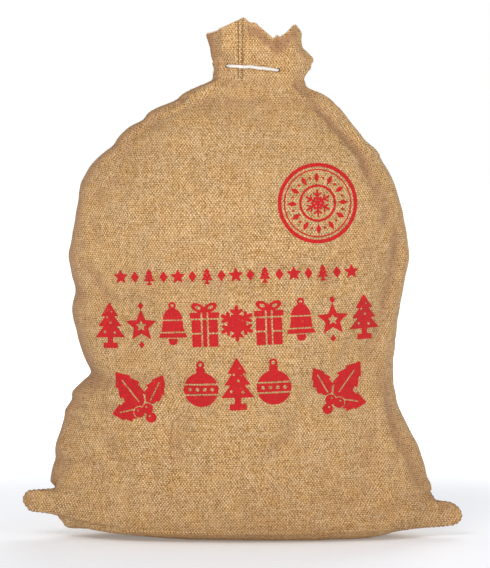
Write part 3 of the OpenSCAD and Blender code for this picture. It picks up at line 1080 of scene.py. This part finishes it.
def turned_by(x, z, angle):
    c, s = math.cos(angle), math.sin(angle)
    return x * c + z * s, -x * s + z * c


def one_arm(x, z, arms):
    """Folds the plane so that one arm drawn upwards is repeated all round."""
    n = math.pi / arms
    a = np.abs((np.arctan2(x, z) + n) % (2 * n) - n)
    d = np.hypot(x, z)
    return d * np.sin(a), d * np.cos(a)


def star(x, z, r, inner):
    """A star with five points; inner is the share of r where its notches are."""
    px, pz = one_arm(x, z, 5)
    nx = r - inner * r * math.cos(math.pi / 5)
    nz = inner * r * math.sin(math.pi / 5)
    return (px * nx + (pz - r) * nz) / math.hypot(nx, nz)


def snowflake(x, z, r, w):
    px, pz = one_arm(x, z, 6)
    return either(stroke(px, pz, 0, 0, 0, r - w / 2, w),
                  stroke(px, pz, 0, r * 0.50, r * 0.26, r * 0.72, w * 0.85),
                  stroke(px, pz, 0, r * 0.24, r * 0.20, r * 0.40, w * 0.85), disc(x, z, r * 0.14))


def fir(x, z, w, h):
    """A fir with three tiers, a trunk and a foot, and five lights left open; drawn 51 high."""
    s = h / 51
    x, z, w = x / s, z / s, w / s
    tiers = [triangle(x, z, w * k, low, high)
             for k, low, high in ((1.0, -13, 8), (0.80, -1, 17), (0.58, 10, 25.5))]
    lights = discs(x, z, ((-6, -7, 1.5), (5, -8, 1.5), (1, 3, 1.4), (-3, 9, 1.2), (2.5, 15, 1.0)))
    return s * less(either(*tiers, block(x, z, -3, -20, 3, -12), block(x, z, -8, -25, 8, -19)), lights)


def gift(x, z, w, h):
    """A wrapped box with a ribbon each way and a bow."""
    box = block(x, z, -w / 2, -h * 0.50, w / 2, h * 0.10)
    lid = block(x, z, -w / 2 - 1.8, h * 0.135, w / 2 + 1.8, h * 0.265)
    upright = stripe(np.abs(x), w * 0.115, 0.95)
    level = np.maximum(stripe(z, -h * 0.20, 0.95), w * 0.115 - np.abs(x))
    wrap = less(less(either(box, lid), upright), np.maximum(level, z - h * 0.12))
    bows = []
    for k in (-1, 1):
        rx, rz = turned_by(x - k * w * 0.24, z - h * 0.375, k * 0.45)
        bows.append(ring_of(rx / 1.65, rz, h * 0.095, h * 0.038))
    return either(wrap, *bows, disc(x, z - h * 0.325, h * 0.062))


def bell(x, z):
    dome = np.hypot(x, (z - 3) * 0.72) - 11.5
    flare = np.abs(x) - (11.5 + 5.0 * np.clip((1 - z) / 15, 0, 1) ** 1.8)
    skirt = np.maximum(np.maximum(flare, z - 3.2), -14 - z)
    cup = either(np.maximum(dome, 3 - z), skirt)
    bands = either(stripe(z, -8.2, 0.85), stripe(z, 5.5, 0.75))
    clapper = less(disc(x, z + 17.2, 5.2), block(x, z, -30, -15.2, 30, 0))
    return either(less(cup, bands), clapper, ring_of(x, z - 21.6, 4.2, 1.8))


def bauble(x, z, h):
    """A ball with two bands, four dots, a cap and a loop; drawn 57 high."""
    s = h / 57
    x, z = x / s, z / s
    bands = either(stripe(z, -11.5, 1.0), stripe(z, 0.5, 1.0))
    dots = discs(x, z, [(k * 8.5, -5.5, 2.2) for k in (-1.5, -0.5, 0.5, 1.5)])
    ball = less(less(disc(x, z + 5.5, 20), bands), dots)
    return s * either(ball, block(x, z, -5, 14, 5, 19.5), ring_of(x, z - 23.2, 4.8, 2.3))


def decked_star(x, z, r):
    """A star with a small diamond above and below it."""
    gems = either(*[diamond(x, z - k * 21.8, 3.4, 4.3, 2.6) for k in (-1, 1)])
    return either(less(star(x, z + 0.8, r, 0.46), star(x, z + 0.8, r * 0.36, 0.46)), gems)


def holly_leaf(x, z, length, width, turn):
    """A leaf with spines along both edges and a pointed tip; it grows from the origin."""
    rx, rz = turned_by(x, z, math.radians(turn))
    t = np.clip(rx / length, 0, 1)
    spines = 0.50 + 0.50 * (1 - ((t * 4.0 + 0.15) % 1.0)) ** 1.3
    half = width / 2 * (np.sin(math.pi * t ** 0.85) ** 0.75) * (0.58 + 0.60 * spines)
    blade = np.maximum((np.abs(rz) - half) * 0.75, np.maximum(-rx, rx - length))
    vein = np.maximum(np.abs(rz) - 0.75, np.maximum(length * 0.10 - rx, rx - length * 0.78))
    return less(blade, vein)


def holly(x, z, face):
    """Three leaves and three berries; face is -1 or 1 for the side they lean to."""
    x = x * face
    leaves = either(holly_leaf(x + 5, z + 12, 47, 25, 52), holly_leaf(x + 9, z + 13, 39, 22, -12),
                    holly_leaf(x + 12, z + 10, 36, 20, 118))
    spots = ((-11, -15), (-1.5, -19), (-14.5, -25))
    berries = less(discs(x, z, [(bx, bz, 5.9) for bx, bz in spots]),
                   discs(x, z, [(bx + 1.6, bz + 1.8, 1.2) for bx, bz in spots]))
    return either(less(leaves, discs(x, z, [(bx, bz, 7.1) for bx, bz in spots])), berries)


def medallion(x, z):
    """Two plain rings with a round of diamonds between them and a snowflake inside."""
    r, a = np.hypot(x, z), np.arctan2(z, x)
    n = math.pi / 12
    on_gem, on_dot = (a + n) % (2 * n) - n, a % (2 * n) - n
    gems = diamond(r * np.cos(on_gem) - 28.6, r * np.sin(on_gem), 6.0, 2.9, 2.4)
    dots = disc(r * np.cos(on_dot) - 28.6, r * np.sin(on_dot), 1.4)
    return either(stripe(r, 42.6, 2.1), stripe(r, 37.2, 0.7), stripe(r, 19.4, 1.3), gems, dots,
                  snowflake(x, z, 15.5, 2.2))


MM = 0.001
TILT = math.radians(2.0)    # the rows of print climb a little to the right
INK_LIFT = 0.00030


def ink_cells(f, xs, zs):
    """The cells of a grid where f is below zero, cut off along the line where f is zero."""
    verts, index, faces = [], {}, []

    def vertex(key, x, z):
        if key not in index:
            index[key] = len(verts)
            verts.append((x, z))
        return index[key]

    active = either(f[:-1, :-1], f[1:, :-1], f[:-1, 1:], f[1:, 1:]) < 0
    for i, j in zip(*np.where(active)):
        corners = ((i, j), (i, j + 1), (i + 1, j + 1), (i + 1, j))
        face = []
        for a, b in zip(corners, corners[1:] + corners[:1]):
            if f[a] < 0:
                face.append(vertex(a, xs[a[1]], zs[a[0]]))
            if (f[a] < 0) != (f[b] < 0):
                t = f[a] / (f[a] - f[b])
                key = (min(a, b), max(a, b))
                face.append(vertex(key, xs[a[1]] + t * (xs[b[1]] - xs[a[1]]),
                                   zs[a[0]] + t * (zs[b[0]] - zs[a[0]])))
        if len(face) >= 3:
            faces.append(tuple(face))
    return verts, faces


def print_motifs():
    """Every motif as (shape, its sizes, middle x, middle z, half size, cell size), in millimetres."""
    out = []
    slope = math.tan(TILT)
    # the small upper row
    small = ((star, (9.0, 0.45)), (diamond, (4.6, 6.6, 3.4)), (fir, (13.5, 18.5)),
             (diamond, (4.6, 6.6, 3.4)))
    for i in range(17):
        x = -136 + i * 16.1
        out.append((*small[i % 4], x, 303 + (x + 7) * slope * 0.75, 11, 0.8))
    # the large middle row, the same from both ends
    big = ((fir, (34, 52)), (decked_star, (18.5,)), (bell, ()), (gift, (29, 50)),
           (snowflake, (20.0, 4.2)))
    for i in range(9):
        x = -148.5 + i * 35.6
        out.append((*big[min(i, 8 - i)], x, 250 + (x + 6) * slope, 30, 0.95))
    # the middle of the lower row, with holly on each side of it
    for shape, sizes, x in ((bauble, (55,), -46), (fir, (37, 60), -5.5), (bauble, (55,), 35)):
        out.append((shape, sizes, x, 182.5 + (x + 6) * slope, 34, 0.95))
    out.append((holly, (-1,), -117, 168, 44, 0.95))
    out.append((holly, (1,), 109, 178, 44, 0.95))
    out.append((medallion, (), 84, 382.5, 46, 0.85))
    return out


def print_piece():
    """Every motif laid on the front as thin cells of red cloth, which share the weave beneath."""
    rnd = random.Random(7)
    verts, faces, uvs = [], [], []
    for shape, sizes, cx, cz, half, step in print_motifs():
        rough = rnd.uniform(0, 50)
        xs = np.arange(cx - half, cx + half + step, step)
        zs = np.arange(cz - half, cz + half + step, step)
        gx, gz = np.meshgrid(xs, zs)
        # the ink's edge follows the threads
        edge = 0.16 * np.sin(gx * 3.65 + rough) * np.sin(gz * 2.64 + rough * 0.7)
        v, f = ink_cells(shape(*turned_by(gx - cx, gz - cz, TILT), *sizes) + edge, xs, zs)
        faces += [tuple(k + len(verts) for k in face) for face in f]
        verts += [on_front(x * MM, z * MM, INK_LIFT) for x, z in v]
        uvs += [weave_uv(x * MM, z * MM) for x, z in v]
    obj = new_mesh("front_print", verts, faces, INK)
    set_weave(obj, uvs)
    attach(obj, "sack")
    return obj


ink = print_piece()

# ---------------------------------------------------------------- the seam up the ruffle's front
SEAM_X = -0.0024
SEAM_HALF = 0.0037      # half the width of the seam's flat strip
SEAM_FOOT = 0.5185      # its lower end, below the cord
STITCH = 0.00225        # from the middle of the seam to each line of stitches


def lip_top(x):
    """The level of the front's free edge at x."""
    z = LIP_LOW[2]
    while on_front(x, z + 0.0003, 0) is not None:
        z += 0.0003
    return z


def seam_strip():
    """A flat strip with a ridge along its middle and a hollow under each line of stitches."""
    across = np.linspace(-SEAM_HALF, SEAM_HALF, 23)
    tops = [lip_top(SEAM_X + w) for w in across]
    rows_up = 78
    verts, uv = [], []
    for i in range(rows_up):
        for w, top in zip(across, tops):
            z = SEAM_FOOT + (top - SEAM_FOOT) * i / (rows_up - 1)
            full = float(smoothstep(SEAM_FOOT, SEAM_FOOT + 0.012, z))
            ridge = 0.00110 * hill(w, 0, 0.0013)
            hem = 0.00035 * hill(abs(w), 0.0031, 0.0005)
            sunk = -0.00075 * hill(abs(w), STITCH, 0.00055)
            edge = 0.00045 * (1 - (abs(w) / SEAM_HALF) ** 8)
            verts.append(on_front(SEAM_X + w, z, -0.0004 + (0.0004 + edge + ridge + hem + sunk) * full))
            uv.append((SEAM_X + w + 0.004, z))
    obj = new_mesh("ruffle_seam_strip", verts, grid_faces(rows_up, len(across)), HESSIAN)
    set_weave(obj, uv)
    thicken(obj, 0.0006)
    return obj, (SEAM_FOOT, min(tops))


def stitch_line(place, low, high, length=0.0038, gap=0.0006, radius=0.00046):
    """Separate stitches from low to high; place(z, out) gives a point over the cloth."""
    parts = []
    z = low + 0.003
    while z + length < high:
        pts = [place(z + length * t, -0.00005 + 0.00030 * math.sin(math.pi * t))
               for t in np.linspace(0, 1, 6)]
        parts.append(tube(np.array(pts), radius, 6))
        z += length + gap
    return joined(parts)


strip, strip_ends = seam_strip()
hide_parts("ruffle_seam")
blend_front(strip)
stitches = new_mesh("ruffle_seam_stitches", *joined([
    stitch_line(lambda z, out, k=k: on_front(SEAM_X + k * STITCH, z, out), *strip_ends)
    for k in (-1, 1)]), THREAD)
blend_front(stitches)


# ---------------------------------------------------------------- the drawstring round the neck
NECK_X = 0.022          # the middle of the neck


def neck_inside(degrees, z, depth):
    """A place inside the neck, depth behind the outer face of the cloth."""
    angle = math.radians(degrees)
    out = Vector((math.cos(angle), math.sin(angle), 0))
    start = Vector((NECK_X, 0, z))
    return start + out * (first_hit((front_tree, back_tree), start, out, 0.2)[1] - depth)


def loop_line():
    """Through the front folds in sight, and back round the neck inside the gathers."""
    hidden = CLOTH + CORD / 2 + 0.0009      # from the cloth's outer face to the cord's middle
    shown = []
    for t in np.linspace(0, 1, 15):
        x = STITCH_LEFT[0] + 0.0012 + (STITCH_RIGHT[0] - STITCH_LEFT[0] - 0.0022) * t
        shown.append(on_front(x, stitch_level(t), CORD / 2 * (1.02 if 0 < t < 1 else 0.25)))
    right_in = [on_front(STITCH_RIGHT[0] + k, STITCH_RIGHT[1], -hidden) for k in (0.0022, 0.0052)] \
        + [neck_inside(a, 0.5322 - 0.00002 * (a + 40), hidden + 0.0012) for a in (-36, -20, 0, 20, 36)] \
        + [Vector((0.0390, 0.0205, 0.5300))]
    left_in = [Vector((-0.0020, 0.0205, 0.5300))] \
        + [neck_inside(a, 0.5304 + 0.00007 * (a - 140), hidden + 0.0012) for a in (156, 174, 192, 208)] \
        + [on_front(STITCH_LEFT[0] - k, STITCH_LEFT[1], -hidden) for k in (0.0052, 0.0022)]
    return resample(left_in + shown + right_in, LOOP_STEP)


loop = loop_line()
stitch_x = (STITCH_LEFT[0] + STITCH_RIGHT[0]) / 2
in_sight = np.exp(-((loop[:, 0] - stitch_x) / 0.024) ** 4) * (loop[:, 1] < 0)
loop_cord = new_mesh("drawstring_loop_cord", *rope(loop, CORD / 2, twist=0.0100,
                                                   taper=0.92 + 0.26 * in_sight), COTTON)
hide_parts("drawstring_loop")
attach(loop_cord, "sack")


def cord_hole_shade(n=18, lift=0.00025, high=0.0021):
    """Painted shade where the cord goes through the cloth: dark ragged ovals just over the cloth, in
    place of the shadow inside the openings.
    """
    parts = []
    for (x, z), place, long in ((STITCH_LEFT, on_front, 0.0024), (STITCH_RIGHT, on_front, 0.0024),
                                (TAIL_HOLES[0], on_back, 0.0023), (TAIL_HOLES[1], on_back, 0.0023)):
        verts = [place(x, z, lift)]
        for size in (0.5, 1.0):
            for k in range(n):
                a = 2 * math.pi * k / n
                rough = size * (1 + 0.10 * math.sin(3 * a + x * 900) + 0.07 * math.sin(5 * a))
                verts.append(place(x + long * rough * math.cos(a), z + high * rough * math.sin(a), lift))
        faces = [(0, 1 + k, 1 + (k + 1) % n) for k in range(n)]
        faces += [(1 + k, 1 + n + k, 1 + n + (k + 1) % n, 1 + (k + 1) % n) for k in range(n)]
        parts.append((verts, faces))
    obj = new_mesh("cord_hole_shade", *joined(parts), SHADE)
    thicken(obj, 0.0002, 0.0)
    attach(obj, "sack")


cord_hole_shade()


# ---------------------------------------------------------------- turned-in edges inside
def fin(name, base, inwards, node, seed, width=0.0085):
    """Two raw edges of cloth sewn together and standing into the sack."""
    rnd = random.Random(seed)
    base = np.array(base)
    side = np.cross(np.gradient(base, axis=0), inwards)
    side /= np.maximum(np.linalg.norm(side, axis=1), 1e-9)[:, None]
    parts, uv = [], []
    for half in (-1, 1):
        verts = []
        wave = rnd.uniform(0, 6)
        for i in range(len(base)):
            fray = 1 + 0.05 * math.sin(i * 1.7 + wave) + rnd.uniform(-0.03, 0.03)
            for t in np.linspace(0, 1, 5):
                lean = half * (0.00055 + 0.0002 * t) + 0.0004 * t * math.sin(i * 0.35 + wave)
                verts.append(base[i] + inwards * width * t * fray + side[i] * lean)
                uv.append((width * t, i * 0.004 + half))
        parts.append((verts, grid_faces(len(base), 5)))
    obj = new_mesh(name, *joined(parts), HESSIAN_EDGE)
    set_weave(obj, uv)
    thicken(obj, 0.0007, 0.0)
    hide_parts(node)
    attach(obj, "sack")


for (word, sign), column in zip(SIDES, (0, NF)):
    low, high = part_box(word + "_side_seam")
    chosen = first_body + np.where((row_z >= low[2]) & (row_z <= high[2]))[0]
    inwards = np.array([-sign, 0, 0])
    fin(word + "_inner_seam", shaped[chosen, column] + inwards * (CLOTH + 0.0004), inwards,
        word + "_side_seam", 11 + column)
low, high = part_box("bottom_seam")
fin("bottom_inner_seam", [(x, 0.0, 0.0019) for x in np.arange(low[0], high[0], 0.003)],
    np.array([0, 0, 1]), "bottom_seam", 31)


# ---------------------------------------------------------------- raw edge and stray fibres
def fray(grid, name, blend_it, seed, outward):
    """Loose thread ends along the free edge of one half of the ruffle."""
    rnd = random.Random(seed)
    edge, under = grid[-1], grid[-2]
    along = distances(edge)
    parts = []
    s = 0.0
    while s < along[-1]:
        p, q = (np.array([np.interp(s, along, line[:, k]) for k in range(3)]) for line in (edge, under))
        up = (p - q) / max(np.linalg.norm(p - q), 1e-9)
        size = rnd.uniform(0.0006, 0.0017) * (2.2 if rnd.random() < 0.05 else 1)
        lean = np.array([rnd.uniform(-0.45, 0.45), outward * rnd.uniform(-0.25, 0.35),
                         rnd.uniform(-0.1, 0.1)])
        pts = [p - up * 0.0008 + [0, -outward * 0.0005, 0], p,
               p + (up + lean * 0.5) * size * 0.5, p + (up + lean) * size]
        parts.append(tube(np.array(pts), rnd.uniform(0.00022, 0.00040), 5, taper=(1, 1, 0.8, 0.35)))
        s += rnd.uniform(0.0011, 0.0021)
    obj = new_mesh(name, *joined(parts), FIBRE)
    blend_it(obj)
    return obj


front_fray = fray(front_grid, "front_fray", blend_front, seed=21, outward=-1)
back_fray = fray(back_grid, "back_fray", blend_back, seed=22, outward=1)


STRAYS = 2600
surface_n = ring_normals(shaped)


def stray_fibres():
    """Short fibres that stand off the cloth here and there."""
    rnd = random.Random(41)
    parts = []
    while len(parts) < STRAYS:
        i = rnd.randrange(first_body + 20, first_lip - 2)
        j = rnd.randrange(1, NC - 1)
        p = shaped[i, j]
        n = surface_n[i, j]
        if p[2] < 0.02:
            continue
        t = np.cross(n, [rnd.uniform(-1, 1) for _ in range(3)])
        t /= max(np.linalg.norm(t), 1e-9)
        size = rnd.uniform(0.0015, 0.0045)
        rise = rnd.uniform(0.15, 0.75)
        pts = [p - n * 0.0002, p + (t + n * rise) * size * 0.35,
               p + (t * 0.9 + n * rise * 0.9) * size * 0.75,
               p + (t * 0.7 + n * rise * 0.7 + [0, 0, -0.25]) * size]
        parts.append(tube(np.array(pts), rnd.uniform(0.00007, 0.00013), 3, taper=(1, 1, 0.8, 0.4)))
    obj = new_mesh("stray_fibres", *joined(parts), FIBRE)
    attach(obj, "sack")


stray_fibres()


# ---------------------------------------------------------------- side seam stitches
def side_stitches(word, column):
    """A running stitch up a side seam; both ends of each stitch go into the cloth."""
    parts = []
    on_seam = slice(first_body + 4, first_lip - 2)
    path = resample(shaped[on_seam, column] + surface_n[on_seam, column] * 0.0002, 0.0009)
    for k in range(3, len(path) - 5, 6):
        one = path[k:k + 5].copy()
        one[[0, -1], 0] -= 0.0006 * np.sign(one[[0, -1], 0] - INSIDE_X)
        parts.append(tube(one, 0.00030, 5))
    obj = new_mesh(word + "_seam_stitches", *joined(parts), THREAD)
    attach(obj, "sack")


for (word, _), column in zip(SIDES, (0, NF)):
    side_stitches(word, column)


# ---------------------------------------------------------------- floor, backdrop and light
FLOOR_GLOW = 0.17       # lifts the floor near the sack to the photo's white
FAR_GLOW = 0.75         # and fades it into the backdrop farther out
WORLD_LIGHT = 0.52


def floor_sheet():
    """A plain pale floor, wide enough to be met from any side."""
    half, count = 24.0, 13
    edge = np.linspace(-half, half, count)
    verts = [(x, y, -0.0002) for y in edge for x in edge]
    g = Graph("pale_floor")
    pos = g.add("ShaderNodeTexCoord").outputs["Object"]
    tone = g.noise(pos, 1.2, 2.0)
    g.link(g.mix(g.spread(tone, 0.3, 0.7), (0.84, 0.87, 0.92), (0.86, 0.885, 0.93)),
           g.shader.inputs["Base Color"])
    g.shader.inputs["Roughness"].default_value = 0.9
    g.shader.inputs["Specular IOR Level"].default_value = 0.1
    g.shader.inputs["Emission Color"].default_value = (1, 1, 1, 1)
    far = g.add("ShaderNodeVectorMath")
    far.operation = "LENGTH"
    g.link(pos, far.inputs[0])
    g.link(g.spread(far.outputs["Value"], 0.5, 1.6, FLOOR_GLOW, FAR_GLOW),
           g.shader.inputs["Emission Strength"])
    new_mesh("pale_floor", verts, grid_faces(count, count), g.mat)


def area_light(name, at, aim_z, size, power, colour):
    data = bpy.data.lights.new(name, "AREA")
    data.shape = "DISK"
    data.size = size
    data.energy = power
    data.color = colour
    obj = bpy.data.objects.new(name, data)
    bpy.context.scene.collection.objects.link(obj)
    obj.location = at
    obj.rotation_euler = (Vector((0, 0, aim_z)) - Vector(at)).to_track_quat("-Z", "Y").to_euler()


floor_sheet()
area_light("key", (-1.3, -3.1, 2.6), 0.28, 1.9, 51, (1.0, 0.99, 0.97))
area_light("fill", (2.3, -2.9, 1.0), 0.25, 2.2, 23, (0.99, 0.99, 1.0))
area_light("low_front", (0.3, -3.6, 0.30), 0.12, 1.6, 24, (1.0, 0.99, 0.98))
area_light("back", (0.8, 3.3, 1.7), 0.28, 2.2, 50, (1.0, 1.0, 1.0))
# the camera sees plain white behind the sack, whatever lights it
world = bpy.data.worlds.new("studio")
world.use_nodes = True
nodes, links = world.node_tree.nodes, world.node_tree.links
lit, seen = nodes["Background"], nodes.new("ShaderNodeBackground")
for background, strength in ((lit, WORLD_LIGHT), (seen, 1.0)):
    background.inputs["Color"].default_value = (1, 1, 1, 1)
    background.inputs["Strength"].default_value = strength
path = nodes.new("ShaderNodeLightPath")
chosen_one = nodes.new("ShaderNodeMixShader")
for source, socket in ((path.outputs["Is Camera Ray"], 0), (lit.outputs[0], 1), (seen.outputs[0], 2)):
    links.new(source, chosen_one.inputs[socket])
links.new(chosen_one.outputs[0], nodes["World Output"].inputs["Surface"])
bpy.context.scene.world = world
bpy.context.scene.view_settings.view_transform = "Standard"
